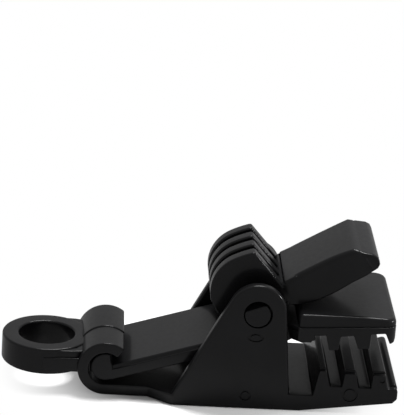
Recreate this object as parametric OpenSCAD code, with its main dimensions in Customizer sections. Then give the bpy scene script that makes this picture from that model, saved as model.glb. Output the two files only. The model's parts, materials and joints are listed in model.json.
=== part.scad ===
// Tarp clip with a rope eye, toothed jaws and a cam lever. Shown open, millimetres.
// Lengths along the clip are measured from the lever's pivot, heights from the flat base.

/* [Body] */
// Width over both cheeks and both jaws
body_w = 36.8; // [33:0.1:42]
// Width of the hook, the tail plate and the arm
tail_w = 27.6; // [24:0.1:28.4]
// Thickness of the base plate and of the hook's wall
base_t = 3.15; // [2.5:0.05:3.6]
// Thickness of each cheek
cheek_t = 3; // [2:0.1:3.4]
// Height of the lever's pivot over the base
pivot_h = 28.3; // [26.5:0.1:30]
// Radius of the cheek's round top
cheek_r = 8.1; // [6.5:0.1:9]
// Height of the round top's centre over the pivot
cheek_rise = 0.4; // [0:0.1:1]
// Length of the cheek's foot behind the pivot
cheek_back = 22.4; // [18:0.1:26]
// Length of the cheek's foot in front of the pivot
cheek_front = 10.3; // [9.5:0.1:12]
// Length over which the tail plate widens up to the cheeks
flare_l = 6.6; // [4:0.1:9]

/* [Rope eye] */
// Diameter of the rope hole
eye_hole_d = 16; // [10:0.5:18]
// Outer diameter of the eye
eye_d = 25; // [22:0.5:30]
// Thickness of the eye
eye_t = 7.4; // [5:0.1:9]
// Radius on the eye's edges
eye_edge_r = 1.5; // [0.5:0.1:2]
// Height of the eye's underside over the base
eye_h = 4.8; // [3:0.1:6]
// Distance from the hinge hook's centre to the eye's centre
eye_reach = 16.8; // [15.5:0.1:20]
// Width of the neck's lower block
neck_w = 24; // [18:0.5:24]
// Height of the neck's underside over the base
neck_foot_h = 5.9; // [5:0.1:7]
// Height of the ledge on each side of the neck
neck_ledge_h = 9.2; // [8:0.1:10.5]
// Width of the neck's upper part
neck_top_w = 17; // [12:0.5:17]

/* [Hinge] */
// Distance from the pivot to the hinge hook's centre
hinge_reach = 41; // [39:0.1:44]
// Diameter of the bead that turns in the hook
bead_d = 8; // [7:0.1:8.6]
// Height of the bead's centre over the hook's centre
bead_lift = 0.55; // [0.2:0.05:0.8]
// Gap between the bead and the top of the hook
bead_gap = 0.1; // [0.05:0.01:0.3]
// Angle of the hook's lip over the level
lip_angle = 50; // [40:1:62]

/* [Lower jaw] */
// Distance from the pivot to the jaw's front face
jaw_reach = 40.5; // [38:0.1:44]
// Height of the bare floor in front of the cheeks
floor_h = 4.8; // [4:0.1:6]
// Distance from the pivot to where the underside starts to rise
ramp_start = 13.2; // [10:0.1:16]
// Rise of the underside
ramp_angle = 7.7; // [4:0.1:9]
// Height of the teeth's crests over the base
tooth_h = 12.4; // [10:0.1:12.6]
// Extra height of the tooth next to the floor
first_tooth_extra = 0.5; // [0:0.1:0.8]
// Height of the valleys between the teeth over the base
valley_h = 7.8; // [7:0.1:9]
// Distance from one tooth to the next
tooth_pitch = 8.33; // [7.8:0.01:8.7]
// Distance from the front face back to the last crest
front_land = 3.7; // [3:0.1:5]
// Chamfer on the jaw's front edges
jaw_edge = 1; // [0.5:0.1:1.2]
// Height of the rim along the jaw's front over the base
front_rim_h = 8.6; // [8:0.1:9]
// Width of the strip along each side of the teeth
side_strip_w = 1.6; // [1:0.1:2.5]
// Drop of the side strips under the crests and the rim
side_drop = 0.5; // [0.2:0.1:0.8]

/* [Jaw arm] */
// Thickness of the arm at its bead
arm_t = 4.1; // [3.5:0.1:4.2]
// Thickness of the arm where it meets the jaw
arm_root_t = 4.8; // [4:0.1:5]
// Distance from the pivot down to the arm's upper face
arm_drop = 6.6; // [6.5:0.05:7]
// Distance from the bead to the middle of the cam's saddle
saddle_reach = 41.2; // [40.8:0.1:41.5]
// Radius of the saddle
saddle_r = 17; // [16.5:0.1:18]
// Depth of the saddle
saddle_depth = 2.3; // [2.2:0.05:2.5]
// Thickness that the pad adds under the saddle
pad_t = 0.9; // [0.6:0.05:1.2]
// Length over which the arm widens up to the jaw
arm_flare_l = 2.8; // [2:0.1:5]
// Distance from the pivot to the back of the upper jaw
jaw_back = 11.4; // [11:0.1:12.5]
// Length of the upper jaw
jaw_l = 27.2; // [25.5:0.1:28]
// Height of the upper jaw's top over the pivot
jaw_top_rise = 0.43; // [0:0.01:0.5]
// Thickness of the upper jaw at its back
jaw_t = 6.3; // [5.5:0.1:7]
// Radius on the upper jaw's back edge
jaw_back_r = 2.5; // [1:0.1:3]
// Radius of the upper jaw's front corners
jaw_corner_r = 3; // [2:0.1:6]
// Depth of the first upper tooth under the jaw's top
upper_tooth_depth = 10.1; // [9:0.1:10.6]
// Depth of the front face under the jaw's top
front_face_h = 6.1; // [5:0.1:7]

/* [Cam] */
// Diameter of the cheeks' bores
bore_d = 8; // [6:0.1:9]
// Gap all round between a trunnion and its bore
trunnion_gap = 0.06; // [0.02:0.01:0.1]
// Radius of the cam's round back
cam_r = 10.9; // [10:0.1:10.9]
// Distance from the pivot back to the cam's centre
cam_back = 2.36; // [1.8:0.02:2.4]
// Distance from the pivot up to the cam's centre
cam_up = 3.71; // [3.3:0.01:3.75]
// Radius of the cam's locking face
nose_r = 30; // [26:0.5:34]
// Angle over the level at which the locking face leaves the round back
nose_start = 118.3; // [114:0.1:122]
// Angle over the level at which the locking face ends
nose_end = 106.3; // [105:0.1:108]
// Distance from the pivot forward to the notch between cam and lever
notch_reach = 7; // [6.5:0.1:7.5]
// Height of the notch over the pivot
notch_up = 5.9; // [5.4:0.1:6.4]
// Width over the cam's ribs
cam_w = 23; // [20:0.1:24]
// Number of ribs
rib_count = 4; // [3:1:5]
// Width of each groove between the ribs
groove_w = 2.5; // [1.5:0.1:3]
// Depth of the grooves
groove_depth = 2.2; // [1:0.1:3]
// Diameter of the hub between the cam and each cheek
hub_d = 12; // [10:0.1:13]
// Gap between a hub and its cheek
hub_gap = 0.4; // [0.2:0.05:0.8]
// Height of the bevel's edge over the trunnion's axis
bevel_up = 1.5; // [0.5:0.1:2.5]
// Tilt of the bevel's edge when the clip is open
bevel_tilt = 21; // [0:1:40]

/* [Thumb lever] */
// Angle of the lever over the level when the clip is open
lever_angle = 29.9; // [29:0.1:33]
// Distance from the pivot to the lever's back face
back_rise = 3; // [2:0.1:3.2]
// Distance from the pivot to the tip
tip_reach = 36.2; // [34:0.1:38]
// Length of the slope at the tip
slope_l = 5; // [3:0.1:7]
// Distance from the pivot forward to the lever's root under the notch
root_reach = 8; // [7.6:0.1:8.4]
// Height of the lever's root over the pivot
root_up = 0.4; // [0:0.1:0.8]
// Size of the tip's blunt edges
tip_edge = 1; // [0.5:0.1:1.5]
// Width of the lever at its tip
tip_w = 27.2; // [24:0.1:29]
// Greatest depth of the lever, from its back face to the rims
lever_depth = 9.5; // [9:0.1:9.8]
// Rise of the rims from their lowest point to the tip
rim_rise = 3.6; // [3.3:0.1:4]
// Thickness of the side walls
wall_t = 1.4; // [1:0.1:2]
// Thickness of the lever's back in the middle
web_t = 2.6; // [2:0.1:3.5]
// Thickness of the wall at the tip
tip_t = 3; // [2:0.1:4]

/* [Hidden] */
$fn = 96;
// Overrun that takes a cut past the face it opens
over = 1;

// The clip is centred on its own length
eye_x = -hinge_reach - eye_reach;
pivot_x = -(eye_x - eye_d / 2 + jaw_reach) / 2;

// Hinge: the hook's cavity leaves the named gap over the bead
bead_r = bead_d / 2;
cavity_r = bead_r + bead_lift + bead_gap;
hook_r = cavity_r + base_t;
bead_h = hook_r + bead_lift;

// Arm: its upper face runs from the bead's centre and clears the pivot by arm_drop
hinge_span = norm([hinge_reach, pivot_h - bead_h]);
arm_angle = atan2(pivot_h - bead_h, hinge_reach) - asin(arm_drop / hinge_span);
arm_l = (hinge_reach + jaw_back) / cos(arm_angle);
// The pad under the saddle keeps the arm's strength there
pad_half = sqrt(pow(saddle_r, 2) - pow(saddle_r - saddle_depth, 2));

// Upper jaw: places along it and depths under its top, as shares of its length and first tooth
jaw_top_h = pivot_h + jaw_top_rise;
upper_places_share = [0.161, 0.279, 0.329, 0.423, 0.438, 0.568, 0.625, 0.741, 0.746, 0.89, 0.941, 0.985];
upper_depths_share = [0.59, 0.56, 1, 0.97, 0.55, 0.51, 0.9, 0.86, 0.45, 0.41, 0.74, 0.72];

// Lower jaw: each crest's width and the runs behind and in front of it, as shares of the pitch
crest_share = [0.22, 0.37, 0.43];
back_run_share = [0.17, 0.07, 0.03];
front_run_share = [0.16, 0.12, 0.08];
last_crest = jaw_reach - front_land;
ramp_h = (jaw_reach - ramp_start) * tan(ramp_angle);

// Cam: the locking face leaves the round back on a common tangent and ends at a corner
cam_centre = [-cam_back, cam_up];
tangent_dir = [cos(nose_start), sin(nose_start)];
nose_centre = cam_centre + (cam_r - nose_r) * tangent_dir;
corner = nose_centre + nose_r * [cos(nose_end), sin(nose_end)];
// Lever: the rims' lowest point and the hollow's root, as shares of the tip's reach and the lever's depth
rim_low_share = 0.566;
hollow_places_share = [0.2, 0.33, 0.48];
hollow_depths_share = [0.41, 0.29];
// The lever starts at the notch, at the foot of the flat that drops from the corner
notch = [notch_reach, notch_up];
lever_root = [root_reach, root_up];
cut_dir = (notch - lever_root) / norm(notch - lever_root);
bore_r = bore_d / 2;
trunnion_r = bore_r - trunnion_gap;
rib_pitch = (cam_w + groove_w) / rib_count;

// Draws a side view across the clip, with its second direction up
module across(width) {
    rotate([90, 0, 0]) linear_extrude(height = width, center = true) children();
}

// Moves from the pivot's own coordinates to the clip's frame
module from_pivot() {
    translate([pivot_x, 0, pivot_h]) children();
}

// Moves from the foot of the pivot to the clip's frame
module from_base() {
    translate([pivot_x, 0, 0]) children();
}

// A bar's section with round corners, standing on the first direction
module round_bar(width, height, radius) {
    translate([0, radius]) square([width, height - 2 * radius]);
    translate([radius, 0]) square([width - 2 * radius, height]);
    for (x = [radius, width - radius], y = [radius, height - radius]) translate([x, y]) circle(r = radius);
}

// Where a line from a foot touches a circle; side is 1 for the circle's front and -1 for its back
function touch(foot, centre, radius, side) =
    let (away = foot - centre, far = norm(away), turn = acos(radius / far))
    centre + radius * [cos(atan2(away[1], away[0]) + side * turn), sin(atan2(away[1], away[0]) + side * turn)];

// The eye's ring and the block that joins it to the hook
module rope_eye() {
    color([0.13, 0.13, 0.14]) from_base() difference() {
        union() {
            translate([eye_x, 0, eye_h]) rotate_extrude()
                translate([eye_hole_d / 2, 0]) round_bar((eye_d - eye_hole_d) / 2, eye_t, eye_edge_r);
            difference() {
                union() {
                    translate([eye_x, -neck_w / 2, neck_foot_h])
                        cube([eye_reach, neck_w, neck_ledge_h - neck_foot_h]);
                    translate([eye_x, -neck_top_w / 2, neck_ledge_h])
                        cube([eye_reach, neck_top_w, eye_h + eye_t - neck_ledge_h]);
                }
                translate([eye_x, 0, 0]) cylinder(r = (eye_hole_d + eye_d) / 4, h = pivot_h);
            }
        }
        translate([-hinge_reach, 0, hook_r]) across(body_w) circle(r = hook_r);
        translate([-hinge_reach, -body_w / 2, 0]) cube([hinge_reach, body_w, pivot_h]);
    }
}

// The hook's section: a ring whose mouth opens towards the jaws
module hook_section() {
    difference() {
        circle(r = hook_r);
        circle(r = cavity_r);
        polygon([[0, 0], hook_r * 2 * [cos(lip_angle), sin(lip_angle)], [hook_r * 2, -hook_r], [cavity_r, -hook_r],
                 [cavity_r, -cavity_r], [0, -cavity_r]]);
    }
    polygon([[0, -hook_r], [cavity_r, -hook_r], [cavity_r, -cavity_r], [0, -cavity_r]]);
}

module hinge_hook() {
    color([0.14, 0.14, 0.15]) from_base() translate([-hinge_reach, 0, hook_r]) across(tail_w) hook_section();
}

module base_plate() {
    tail_x = cavity_r - hinge_reach;
    color([0.12, 0.12, 0.13]) from_base() linear_extrude(height = base_t) polygon([
        [tail_x, -tail_w / 2], [-cheek_back - flare_l, -tail_w / 2], [-cheek_back, -body_w / 2],
        [cheek_front, -body_w / 2], [cheek_front, body_w / 2], [-cheek_back, body_w / 2],
        [-cheek_back - flare_l, tail_w / 2], [tail_x, tail_w / 2]]);
}

// One cheek, with its outer face at the given side
module cheek(side) {
    top = [0, pivot_h + cheek_rise];
    back_foot = [-cheek_back, base_t];
    front_foot = [cheek_front, base_t];
    color([0.13, 0.13, 0.14]) from_base() translate([0, side * (body_w - cheek_t) / 2, 0]) across(cheek_t)
        difference() {
            union() {
                translate(top) circle(r = cheek_r);
                polygon([back_foot, front_foot, touch(front_foot, top, cheek_r, 1), top,
                         touch(back_foot, top, cheek_r, -1)]);
            }
            translate([0, pivot_h]) circle(r = bore_r);
        }
}

// A tooth's outline from its back foot to its front foot, its crest lowered by drop; the first has index 0
function tooth(i, drop) =
    let (front = last_crest - (len(crest_share) - 1 - i) * tooth_pitch,
         back = front - crest_share[i] * tooth_pitch,
         height = (i == 0 ? tooth_h + first_tooth_extra : tooth_h) - drop)
    [[back - back_run_share[i] * tooth_pitch, i == 0 ? floor_h : valley_h], [back, height], [front, height],
     [front + front_run_share[i] * tooth_pitch, valley_h]];

// The lower jaw's side view, its crests and its front rim lowered by drop
module jaw_section(drop) {
    teeth = [for (i = [0 : len(crest_share) - 1], p = tooth(i, drop)) p];
    polygon(concat([[cheek_front, 0], [cheek_front, floor_h]], teeth,
        [[jaw_reach - 2 * jaw_edge, valley_h], [jaw_reach - jaw_edge, front_rim_h - drop],
         [jaw_reach - jaw_edge / 2, front_rim_h - drop], [jaw_reach, front_rim_h - drop - jaw_edge],
         [jaw_reach, ramp_h + jaw_edge], [jaw_reach - jaw_edge, ramp_h - jaw_edge * tan(ramp_angle)],
         [ramp_start, 0]]));
}

module lower_jaw() {
    color([0.12, 0.12, 0.13]) from_base() {
        across(body_w) jaw_section(side_drop);
        across(body_w - 2 * side_strip_w) jaw_section(0);
    }
}

// Moves to the bead's centre, with the first direction along the arm
module along_arm() {
    from_base() translate([-hinge_reach, 0, bead_h]) rotate([0, -arm_angle, 0]) children();
}

module hinge_bead() {
    color([0.16, 0.16, 0.17]) along_arm() across(tail_w) difference() {
        circle(r = bead_r);
        polygon([[0, 0], [bead_d, 0], [bead_d, -bead_d], [0, -bead_d]]);
    }
}

module arm_plate() {
    pad_top = -(arm_t + arm_root_t) / 2;
    pad_low = pad_top - pad_t;
    jaw_line = [sin(arm_angle), cos(arm_angle)];
    color([0.16, 0.16, 0.17]) along_arm() intersection() {
        union() {
            across(tail_w) intersection() {
                circle(r = bead_r);
                polygon([[0, 0], [bead_d, 0], [bead_d, -bead_d], [0, -bead_d]]);
            }
            across(body_w) difference() {
                polygon([[0, 0], arm_l * [1, 0], [arm_l, 0] - arm_root_t * jaw_line,
                         [saddle_reach + pad_half + saddle_depth, -arm_root_t],
                         [saddle_reach + pad_half, pad_low], [saddle_reach - pad_half, pad_low],
                         [saddle_reach - pad_half - saddle_depth, pad_top],
                         [bead_r, -arm_t], [bead_r / 2, -bead_r], [0, -bead_r]]);
                translate([saddle_reach, saddle_r - saddle_depth]) circle(r = saddle_r);
                circle(r = bead_r);
            }
        }
        translate([0, 0, -pivot_h]) linear_extrude(height = 2 * pivot_h) polygon([
            [-over, -tail_w / 2], [arm_l - arm_flare_l, -tail_w / 2], [arm_l, -body_w / 2],
            [arm_l, body_w / 2], [arm_l - arm_flare_l, tail_w / 2], [-over, tail_w / 2]]);
    }
}

module upper_jaw() {
    teeth = [for (i = [0 : len(upper_places_share) - 1])
             [upper_places_share[i] * jaw_l, -upper_depths_share[i] * upper_tooth_depth]];
    color([0.17, 0.17, 0.18]) from_base() translate([jaw_back, 0, jaw_top_h]) intersection() {
        across(body_w) union() {
            polygon(concat([[0, -jaw_back_r], [0, -jaw_t]], teeth,
                           [[jaw_l, -front_face_h], [jaw_l, 0], [jaw_back_r, 0]]));
            intersection() {
                translate([jaw_back_r, -jaw_back_r]) circle(r = jaw_back_r);
                translate([0, -jaw_back_r]) square([jaw_back_r, jaw_back_r]);
            }
        }
        translate([0, 0, -2 * upper_tooth_depth]) linear_extrude(height = 3 * upper_tooth_depth) union() {
            translate([0, -body_w / 2]) square([jaw_l - jaw_corner_r, body_w]);
            translate([0, -body_w / 2 + jaw_corner_r]) square([jaw_l, body_w - 2 * jaw_corner_r]);
            for (side = [-1, 1]) translate([jaw_l - jaw_corner_r, side * (body_w / 2 - jaw_corner_r)])
                circle(r = jaw_corner_r);
        }
    }
}

// The lever's side of the line through the notch and the root, drawn far past both faces
module lever_side() {
    polygon([notch + cam_r * 2 * cut_dir, notch - cam_r * 2 * cut_dir,
             notch - cam_r * 2 * cut_dir + [tip_reach * 2, 0], notch + cam_r * 2 * cut_dir + [tip_reach * 2, 0]]);
}

// The cam's section, drawn in by the given depth at its back and top, and whole towards the lever
module cam_section(inset) {
    flat = (notch - corner) / norm(notch - corner);
    inward = [-abs(flat[1]), -abs(flat[0])];
    difference() {
        union() {
            translate(cam_centre) circle(r = cam_r - inset);
            intersection() {
                translate(nose_centre) circle(r = nose_r - inset);
                polygon([cam_centre, cam_centre + cam_r * 2 * tangent_dir, corner + cam_r * [0, 1],
                         corner + cam_r * [1, 0], notch]);
            }
            polygon([cam_centre, notch, lever_root]);
        }
        translate(inset * inward) polygon([corner - cam_r * flat, notch + cam_r * flat,
                                           notch + cam_r * 2 * [1, 1], corner + cam_r * 2 * [0, 1]]);
        lever_side();
    }
}

module cam() {
    color([0.15, 0.15, 0.16]) from_pivot() {
        across(cam_w) cam_section(groove_depth);
        for (i = [0 : rib_count - 1]) translate([0, (i - (rib_count - 1) / 2) * rib_pitch, 0])
            across(rib_pitch - groove_w) cam_section(0);
    }
}

// Moves to the pivot, with the first direction along the lever's back face
module along_lever() {
    from_pivot() rotate([0, -lever_angle, 0]) children();
}

// The lever's plan, drawn in by the given depth at its sides
module lever_plan(inset) {
    polygon([[0, -cam_w / 2 + inset], [tip_reach, -tip_w / 2 + inset],
             [tip_reach, tip_w / 2 - inset], [0, cam_w / 2 - inset]]);
}

module thumb_lever() {
    low = back_rise - lever_depth;
    rim_run = tip_reach * (1 - rim_low_share) - tip_edge;
    rim_r = (pow(rim_run, 2) + pow(rim_rise, 2)) / rim_rise / 2;
    rim_centre = [tip_reach * rim_low_share, low + rim_r];
    tip_low = low + rim_rise;
    hollow_r = pow(cam_w / 2 - wall_t, 2) / lever_depth * 2;
    hollow_end = tip_reach - tip_t - tip_edge / 2;
    hollow_start = tip_reach * hollow_places_share[0];
    color([0.17, 0.17, 0.18]) difference() {
        along_lever() intersection() {
            across(body_w) intersection() {
                polygon([[0, -rim_r], [tip_reach - tip_edge, -rim_r], [tip_reach - tip_edge, tip_low],
                         [tip_reach, tip_low + tip_edge * 2], [tip_reach - tip_edge / 2, -tip_edge],
                         [tip_reach - slope_l, back_rise], [bore_r, back_rise], [0, notch[1]]]);
                translate(rim_centre) circle(r = rim_r);
            }
            translate([0, 0, -tip_reach]) linear_extrude(height = 2 * tip_reach) lever_plan(0);
        }
        from_pivot() across(body_w) difference() {
            square(tip_reach * 4, center = true);
            lever_side();
        }
        along_lever() intersection() {
            across(body_w) polygon([[hollow_start, -lever_depth * hollow_depths_share[0]],
                                    [tip_reach * hollow_places_share[1], -lever_depth * hollow_depths_share[1]],
                                    [tip_reach * hollow_places_share[2], back_rise],
                                    [hollow_end - tip_edge, back_rise], [hollow_end, low], [hollow_end, -rim_r],
                                    [hollow_start, -rim_r]]);
            translate([0, 0, -tip_reach]) linear_extrude(height = 2 * tip_reach) lever_plan(wall_t);
            translate([0, 0, back_rise - web_t - hollow_r]) rotate([0, 90, 0])
                cylinder(r = hollow_r, h = tip_reach);
        }
    }
}

// The right trunnion with its hub, from the cam's side out to the cheek's outer face
module right_trunnion() {
    stub_l = (body_w - cam_w) / 2;
    color([0.16, 0.16, 0.17]) from_pivot() rotate([90, 0, 0]) translate([0, 0, cam_w / 2]) difference() {
        union() {
            cylinder(r = hub_d / 2, h = stub_l - cheek_t - hub_gap);
            cylinder(r = trunnion_r, h = stub_l);
        }
        rotate([0, 0, bevel_tilt]) translate([0, bevel_up, stub_l]) rotate([-45, 0, 0])
            translate([-bore_d, -bore_d, 0]) cube(bore_d * 2);
    }
}

module left_trunnion() {
    mirror([0, 1, 0]) right_trunnion();
}

rope_eye();
hinge_hook();
base_plate();
cheek(1);  // left_cheek
cheek(-1);  // right_cheek
lower_jaw();
hinge_bead();
arm_plate();
upper_jaw();
cam();
thumb_lever();
left_trunnion();
right_trunnion();
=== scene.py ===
"""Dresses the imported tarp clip: three black mouldings on the clip's three bodies, on a pale floor."""

import json
import math

import bmesh
import bpy
from bpy.props import FloatProperty, FloatVectorProperty, IntProperty, PointerProperty
from bpy.types import Operator, Panel, PropertyGroup
from mathutils import Matrix, Vector


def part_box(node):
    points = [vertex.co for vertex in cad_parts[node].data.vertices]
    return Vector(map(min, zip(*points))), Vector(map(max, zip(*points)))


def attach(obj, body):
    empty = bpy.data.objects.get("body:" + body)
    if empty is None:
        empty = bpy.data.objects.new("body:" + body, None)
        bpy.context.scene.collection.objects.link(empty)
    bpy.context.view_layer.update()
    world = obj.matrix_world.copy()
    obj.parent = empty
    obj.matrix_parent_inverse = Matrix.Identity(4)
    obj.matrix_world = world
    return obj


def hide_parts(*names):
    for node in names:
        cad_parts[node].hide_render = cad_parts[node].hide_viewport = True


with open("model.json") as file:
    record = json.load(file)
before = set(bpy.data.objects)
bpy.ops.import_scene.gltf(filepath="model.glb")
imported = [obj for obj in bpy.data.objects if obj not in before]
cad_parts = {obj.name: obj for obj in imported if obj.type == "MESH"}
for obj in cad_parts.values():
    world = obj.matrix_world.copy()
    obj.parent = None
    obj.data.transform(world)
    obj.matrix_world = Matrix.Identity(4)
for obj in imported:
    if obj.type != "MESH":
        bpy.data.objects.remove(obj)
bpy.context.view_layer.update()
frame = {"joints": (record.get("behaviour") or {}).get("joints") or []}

bl_info = {
    "name": "Tarp clip",
    "version": (1, 0, 0),
    "blender": (4, 5, 0),
    "location": "3D View > Sidebar > Tarp clip",
    "description": "Builds the body, the jaw arm and the thumb lever of a moulded tarp clip",
    "category": "Object",
}

# Shapes are drawn in millimetres from the lever's pivot, then put into the frame in metres
MM = 0.001
PIVOT = Vector(frame["joints"][0]["pos_m"])
HINGE = Vector(frame["joints"][1]["pos_m"])
BASE = -PIVOT.z / MM
# Points closer than this after a Boolean become one
MERGE = 0.002 * MM


def along(node, axis):
    """The lowest and highest place of a node of the frame on one axis, in millimetres from the pivot."""
    low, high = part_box(node)
    return (low[axis] - PIVOT[axis]) / MM, (high[axis] - PIVOT[axis]) / MM


JAW_HALF = along("lower_jaw", 1)[1] * MM
TAIL_HALF = along("hinge_hook", 1)[1] * MM


class ClipBodySizes(PropertyGroup):
    jaw_half: FloatProperty(name="Half width", description="Half the width over the cheeks and the lower jaw",
                            default=JAW_HALF, unit="LENGTH")
    tail_half: FloatProperty(name="Tail half width", default=TAIL_HALF, unit="LENGTH",
                             description="Half the width of the tail plate and the hook")
    base: FloatProperty(name="Base thickness", description="Thickness of the base plate",
                        default=3.15 * MM, unit="LENGTH")
    cheek: FloatProperty(name="Cheek thickness", description="Thickness of each cheek",
                         default=3 * MM, unit="LENGTH")
    cheek_edge: FloatProperty(name="Cheek edge", description="Radius on the cheeks' edges",
                              default=0.8 * MM, unit="LENGTH")
    tooth_edge: FloatProperty(name="Tooth edge", description="Radius on the lower teeth's edges",
                              default=0.35 * MM, unit="LENGTH")
    plate_edge: FloatProperty(name="Plate edge", default=0.5 * MM, unit="LENGTH",
                              description="Radius on the tail plate's, the hook's and the neck's edges")
    foot_edge: FloatProperty(name="Foot edge", description="Radius on the edges of the foot under the neck",
                             default=0.4 * MM, unit="LENGTH")
    hole: FloatProperty(name="Hole radius", description="Radius of the rope hole",
                        default=7.9 * MM, unit="LENGTH")
    eye: FloatProperty(name="Eye radius", description="Outer radius of the rope eye",
                       default=12.5 * MM, unit="LENGTH")
    eye_height: FloatProperty(name="Eye height", description="Height of the rope eye, along its hole",
                              default=7.6 * MM, unit="LENGTH")
    eye_edge: FloatProperty(name="Eye edge", description="Radius on the rope eye's edges",
                            default=0.6 * MM, unit="LENGTH")
    bore: FloatProperty(name="Bore radius", description="Radius of the cheeks' bores",
                        default=4 * MM, unit="LENGTH")
    strip: FloatProperty(name="Side strip", default=1.6 * MM, unit="LENGTH",
                         description="Width of the lower strip along each side of the teeth")
    strip_drop: FloatProperty(name="Strip drop", default=0.5 * MM, unit="LENGTH",
                              description="Drop of the side strips under the teeth's crests")
    seam: FloatProperty(name="Seam step", description="Step between the hook's two halves",
                        default=0.3 * MM, unit="LENGTH")
    mark: FloatProperty(name="Mark depth", description="Depth of the ejector marks",
                        default=0.35 * MM, unit="LENGTH")


class JawArmSizes(PropertyGroup):
    arm_edge: FloatProperty(name="Arm edge", description="Radius on the arm's long edges",
                            default=0.5 * MM, unit="LENGTH")
    arm_ledge: FloatProperty(name="Arm ledge", default=0.4 * MM, unit="LENGTH",
                             description="Step along the arm's sides, under its upper face")
    arm_ledge_edge: FloatProperty(name="Arm ledge edge", default=0.2 * MM, unit="LENGTH",
                                  description="Radius on the outer edge of the arm's ledge")
    bead: FloatProperty(name="Bead radius", description="Radius of the hinge bead",
                        default=3.95 * MM, unit="LENGTH")
    bead_edge: FloatProperty(name="Bead edge", description="Radius on the hinge bead's edges",
                             default=0.4 * MM, unit="LENGTH")
    foot_edge: FloatProperty(name="Foot edge", description="Radius on the edges of the bead's foot",
                             default=0.3 * MM, unit="LENGTH")
    jaw_edge: FloatProperty(name="Jaw edge", description="Radius on the upper jaw's top edges",
                            default=1.2 * MM, unit="LENGTH")
    tooth_edge: FloatProperty(name="Tooth edge", description="Radius on the upper teeth's edges",
                              default=0.35 * MM, unit="LENGTH")
    corner: FloatProperty(name="Corner radius", description="Radius of the upper jaw's front corners",
                          default=3 * MM, unit="LENGTH")
    ledge: FloatProperty(name="Side ledge", default=0.55 * MM, unit="LENGTH",
                         description="Step between the jaw's plate and its toothed block")
    ledge_edge: FloatProperty(name="Ledge edge", description="Radius on the ledge's outer edge",
                              default=0.3 * MM, unit="LENGTH")


class CamLeverSizes(PropertyGroup):
    rib_count: IntProperty(name="Ribs", description="Number of ribs across the cam", default=4, min=1, max=8)
    rib_pitch: FloatProperty(name="Rib pitch", description="Distance from one rib to the next",
                             default=6.375 * MM, unit="LENGTH")
    rib_width: FloatProperty(name="Rib width", description="Width of each rib",
                             default=3.875 * MM, unit="LENGTH")
    rib_edge: FloatProperty(name="Rib edge", description="Radius on the ribs' edges",
                            default=0.6 * MM, unit="LENGTH")
    groove: FloatProperty(name="Groove depth", description="Depth of the grooves between the ribs",
                          default=2.2 * MM, unit="LENGTH")
    wall: FloatProperty(name="Rim width", description="Width of the lever's curved rims",
                        default=1.4 * MM, unit="LENGTH")
    rim_edge: FloatProperty(name="Rim edge", description="Radius on the outer edges of the lever's rims",
                            default=0.5 * MM, unit="LENGTH")
    hollow_edge: FloatProperty(name="Hollow edge", default=0.12 * MM, unit="LENGTH",
                               description="Radius on the edges inside the lever's hollow")
    back_edge: FloatProperty(name="Back edge", description="Radius on the edges of the lever's back",
                             default=1.5 * MM, unit="LENGTH")
    hub: FloatProperty(name="Hub radius", description="Radius of the hub on each side of the cam",
                       default=6 * MM, unit="LENGTH")
    pin: FloatProperty(name="Trunnion radius", description="Radius of the trunnions in the cheeks' bores",
                       default=3.6 * MM, unit="LENGTH")
    pin_edge: FloatProperty(name="Trunnion edge", description="Radius on the trunnions' and the hubs' edges",
                            default=0.3 * MM, unit="LENGTH")


class PlasticLook(PropertyGroup):
    colour: FloatVectorProperty(name="Colour", description="Colour of the plastic", subtype="COLOR",
                                default=(0.0043, 0.0043, 0.0046))
    roughness: FloatProperty(name="Roughness", description="Roughness between the grains", default=0.4,
                             subtype="FACTOR", min=0, max=1)
    grain: FloatProperty(name="Grain", description="Size of the grain", default=0.35 * MM, unit="LENGTH")
    flow: FloatProperty(name="Flow marks", description="Size of the flow marks", default=9 * MM,
                        unit="LENGTH")
    relief: FloatProperty(name="Relief", description="Height of the grain", default=0.008 * MM, unit="LENGTH",
                          precision=6)


class StageLook(PropertyGroup):
    floor: FloatProperty(name="Floor radius", description="Radius of the floor", default=1.5, unit="LENGTH")
    key: FloatProperty(name="Side lamp", description="Power of the lamp at the right in watts", default=9)
    top: FloatProperty(name="Top lamp", description="Power of the lamp overhead in watts", default=19)
    fill: FloatProperty(name="Sky", description="Level of the light from all round", default=0.25)


def on_circle(centre, radius, turn):
    """The point of a circle at a turn in degrees."""
    turn = math.radians(turn)
    return centre[0] + radius * math.cos(turn), centre[1] + radius * math.sin(turn)


def arc(centre, radius, start, end, steps):
    """Points on an arc, from one turn to another in degrees."""
    return [on_circle(centre, radius, start + (end - start) * i / steps) for i in range(steps + 1)]


def circle(centre, radius, steps):
    """Points evenly round a whole circle."""
    return arc(centre, radius, 0, 360, steps)[:-1]


def oval(centre, radius, flat):
    """Points round a circle whose height is pressed to flat times its width."""
    return [(centre[0] + x, centre[1] + flat * z) for x, z in circle((0, 0), radius, 24)]


def mirrored(points):
    """A closed outline from the part of it on the far side and that part's mirror image on the near side."""
    return [(x, -y) for x, y in points] + points[::-1]


def touch(foot, centre, radius, side):
    """The angle at which a line from a foot touches a circle; side is 1 for its front and -1 for its back."""
    away = (foot[0] - centre[0], foot[1] - centre[1])
    return math.degrees(math.atan2(away[1], away[0]) + side * math.acos(radius / math.hypot(*away)))


def curve_through(points, x):
    """The height at x of a smooth curve through points that run in order of x."""
    last = len(points) - 1
    i = max(j for j in range(last) if j == 0 or points[j][0] <= x)
    (x0, y0), (x1, y1) = points[i], points[i + 1]
    slope = [(points[min(j + 1, last)][1] - points[max(j - 1, 0)][1])
             / (points[min(j + 1, last)][0] - points[max(j - 1, 0)][0]) for j in (i, i + 1)]
    t, span = (x - x0) / (x1 - x0), x1 - x0
    return ((1 + 2 * t) * (1 - t) ** 2 * y0 + t * (1 - t) ** 2 * span * slope[0]
            + t * t * (3 - 2 * t) * y1 + t * t * (t - 1) * span * slope[1])


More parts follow.
